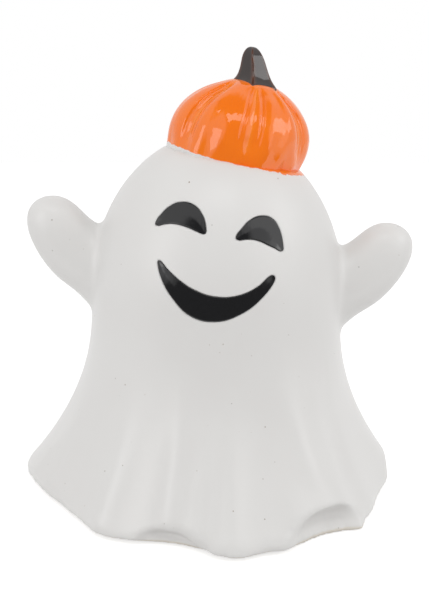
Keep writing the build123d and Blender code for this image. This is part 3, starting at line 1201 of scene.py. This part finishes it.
black, tree, shader = new_finish("gloss_black_glaze")
place = add(tree, "TexCoord").outputs["Object"]
brush = add(tree, "TexNoise", {"Vector": place, "Scale": 1 / (STROKE_SIZE * MM), "Detail": 2.0})
ink = add(tree, "Mix", {
    SHARE: brush.outputs["Fac"],
    FIRST: linear("#0A0A0C"),
    SECOND: linear("#121215"),
}, data_type="RGBA")
strokes = add(tree, "Bump", {
    "Height": brush.outputs["Fac"],
    "Strength": 0.3,
    "Distance": STROKE_HEIGHT * MM,
})
fill(tree, shader, {
    "Base Color": ink.outputs[MIXED],
    "Roughness": 0.1,
    "Normal": strokes.outputs[0],
    "IOR": 1.6,
})
for piece in face_grids.values():
    coat(piece, black)

# %% [markdown]
# Four discs of pressed wool felt under the base keep the table from scratches. Hair particles
# would be far too heavy for pads that hardly show, so noise gives them a nap.

# %% Pressed wool felt
# Felt gives the eye a dull, warm, slightly mottled surface without any sheen.
# Wool fibres are about 0.02 mm thick, so the nap is drawn coarser, to show.
NAP_SIZE = 0.6
NAP_HEIGHT = 0.2

felt, tree, shader = new_finish("pressed_wool_felt")
place = add(tree, "TexCoord").outputs["Object"]
fibre = add(tree, "TexNoise", {"Vector": place, "Scale": 1 / (NAP_SIZE * MM), "Detail": 6.0})
wool = add(tree, "Mix", {
    SHARE: fibre.outputs["Fac"],
    FIRST: linear("#C9C2B4"),
    SECOND: linear("#EAE5DB"),
}, data_type="RGBA")
nap = add(tree, "Bump", {"Height": fibre.outputs["Fac"], "Strength": 0.8, "Distance": NAP_HEIGHT * MM})
fill(tree, shader, {"Base Color": wool.outputs[MIXED], "Roughness": 0.95, "Normal": nap.outputs[0]})
pads = frame["nodes"]["foot_pads"]
for slot in pads.material_slots:
    slot.material = felt
print(felt.name, "covers", pads.name)

# %% [markdown]
# ## The stage
# The photograph was taken from a little above, close to the figure. A longer lens from further
# away would flatten the arms and the hem, so the camera stands where the outline fits.

# %% Camera at the photograph's viewing angle
LENS = 68
SENSOR = 36
CAMERA_SPOT = Vector((0.8, -375.9, 204.4)) * MM
CAMERA_AIM = Vector((0.8, 0, 67.6)) * MM


def facing(spot, target):
    """The turn of a camera or a lamp at a spot that looks at a target."""
    return (target - spot).to_track_quat("-Z", "Y").to_euler()


camera_data = bpy.data.cameras.new("photo_camera")
camera_data.lens = LENS
camera_data.sensor_width = SENSOR
camera_data.clip_start = 10 * MM
camera = bpy.data.objects.new("photo_camera", camera_data)
bpy.context.scene.collection.objects.link(camera)
bpy.context.scene.camera = camera
camera.location = CAMERA_SPOT
camera.rotation_euler = facing(CAMERA_SPOT, CAMERA_AIM)
print("camera", round((CAMERA_SPOT - CAMERA_AIM).length / MM), "mm from the figure")

# %% [markdown]
# The figure stands on white paper. The paper is lit like the rest, and a little light of its own
# lifts it to white for the camera and in mirror images only, so that it keeps the shadow and
# throws no extra light on the figure. It reaches a little past the lower edge of the picture.

# %% Floor
# Paper gives the eye a matt, even white. Sizes are in metres.
FLOOR_LIFT = 0.62
FLOOR_WIDTH = 1.3
FLOOR_FRONT = -0.17
FLOOR_BACK = 0.5


def camera_and_mirrored(tree):
    """Sockets that are 1 for rays from the camera, and for rays that a piece mirrors or lets through."""
    path = add(tree, "LightPath").outputs
    glossy, through = path["Is Glossy Ray"], path["Is Transmission Ray"]
    mirrored = add(tree, "Math", {0: glossy, 1: through}, operation="MAXIMUM")
    return path["Is Camera Ray"], mirrored.outputs[0]


bpy.ops.mesh.primitive_plane_add(size=1, location=(0, (FLOOR_FRONT + FLOOR_BACK) / 2, 0))
floor = bpy.context.view_layer.objects.active
floor.name = "floor"
floor.scale = (FLOOR_WIDTH, FLOOR_BACK - FLOOR_FRONT, 1)
bpy.ops.object.transform_apply(location=True, scale=True)
paper, tree, shader = new_finish("white_paper")
by_camera, by_mirror = camera_and_mirrored(tree)
seen = add(tree, "Math", {0: by_camera, 1: by_mirror}, operation="MAXIMUM")
lifted = add(tree, "Math", {0: seen.outputs[0], 1: FLOOR_LIFT}, operation="MULTIPLY")
fill(tree, shader, {
    "Base Color": linear("#DCDCDC"),
    "Roughness": 0.9,
    "Specular IOR Level": 0.1,
    "Emission Color": linear("#FFFFFF"),
    "Emission Strength": lifted.outputs[0],
})
coat(floor, paper)
floor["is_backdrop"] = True

# %% [markdown]
# The room is a pale tent with a dark gap in front, where the photographer stands. Diffuse light
# comes evenly from all of it. Mirror images show its white walls beside and behind the figure
# and the dim gap before it, which widens towards the floor, and this keeps the black glaze black.

# %% The room
# The gap is measured by the sideways part of a ray's direction, from -1 to 1.
ROOM_LIGHT = 0.685
GAP_LIGHT = 0.2
GAP_MIDDLE = 0.04
GAP_HALF_WIDTH = 0.42
GAP_EDGE = 0.05
GAP_SPREAD = 0.4
BACK_START = 0.15
BACK_END = 0.35

world = bpy.data.worlds.new("studio")
bpy.context.scene.world = world
world.use_nodes = True
tree = world.node_tree
by_camera, by_mirror = camera_and_mirrored(tree)
aim = add(tree, "SeparateXYZ", {"Vector": add(tree, "TexCoord").outputs["Generated"]}).outputs
sideways = add(tree, "Math", {0: aim["X"], 1: GAP_MIDDLE}, operation="SUBTRACT")
off_gap = add(tree, "Math", {0: sideways.outputs[0]}, operation="ABSOLUTE")
under = add(tree, "MapRange", {
    "Value": aim["Z"],
    "From Min": -GAP_SPREAD,
    "From Max": GAP_SPREAD,
    "To Min": GAP_SPREAD,
    "To Max": 0,
})
inward = add(tree, "Math", {0: off_gap.outputs[0], 1: under.outputs[0]}, operation="SUBTRACT")
beside = add(tree, "MapRange", {
    "Value": inward.outputs[0],
    "From Min": GAP_HALF_WIDTH - GAP_EDGE,
    "From Max": GAP_HALF_WIDTH + GAP_EDGE,
    "To Min": GAP_LIGHT,
})
behind = add(tree, "MapRange", {
    "Value": aim["Y"],
    "From Min": BACK_START,
    "From Max": BACK_END,
    "To Min": GAP_LIGHT,
})
walls = add(tree, "Math", {0: beside.outputs[0], 1: behind.outputs[0]}, operation="MAXIMUM")
lit = add(tree, "MapRange", {"Value": by_mirror, "To Min": ROOM_LIGHT, "To Max": walls.outputs[0]})
shown = add(tree, "MapRange", {"Value": by_camera, "To Min": lit.outputs[0], "To Max": 1.0})
fill(tree, tree.nodes["Background"], {"Color": linear("#FFFFFF"), "Strength": shown.outputs[0]})
bpy.context.scene.view_settings.view_transform = "Standard"
print("room light", ROOM_LIGHT)

# %% [markdown]
# Four soft boxes model the form. The top one leaves the lower sides of the arms in shade, the
# left and right ones draw the bright patches on the hat and the stalk, and the weak one at the
# front right opens the shade on that side. Bare lamps would give hard shadows and sharp dots.

# %% Soft boxes
# Each box: its name, its spot and its width and height in metres, and its power in watts.
SOFT_BOXES = (
    ("top", (0.0, -0.42, 0.78), (0.5, 0.24), 0.95),
    ("left", (-0.7, -0.54, 0.32), (0.36, 0.5), 1.1),
    ("right", (0.86, -0.22, 0.58), (0.45, 0.4), 1.2),
    ("right front", (0.7, -0.54, 0.3), (0.4, 0.5), 0.3),
)
LAMP_AIM = Vector((0, 0, 75)) * MM

for name, spot, (width, tall), power in SOFT_BOXES:
    lamp_data = bpy.data.lights.new(name, "AREA")
    lamp_data.shape = "RECTANGLE"
    lamp_data.size = width
    lamp_data.size_y = tall
    lamp_data.energy = power
    lamp = bpy.data.objects.new(name, lamp_data)
    bpy.context.scene.collection.objects.link(lamp)
    lamp.location = spot
    lamp.rotation_euler = facing(Vector(spot), LAMP_AIM)
    print(name, "soft box of", power, "W")

# %% [markdown]
# ## Measure
# The finished pieces have to fill the same box as the solids, so the box that they fill is printed, in
# millimetres.

# %% Size of the finished pieces
low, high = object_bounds()
print("visual", [round(side / MM, 1) for side in high - low], "mm")
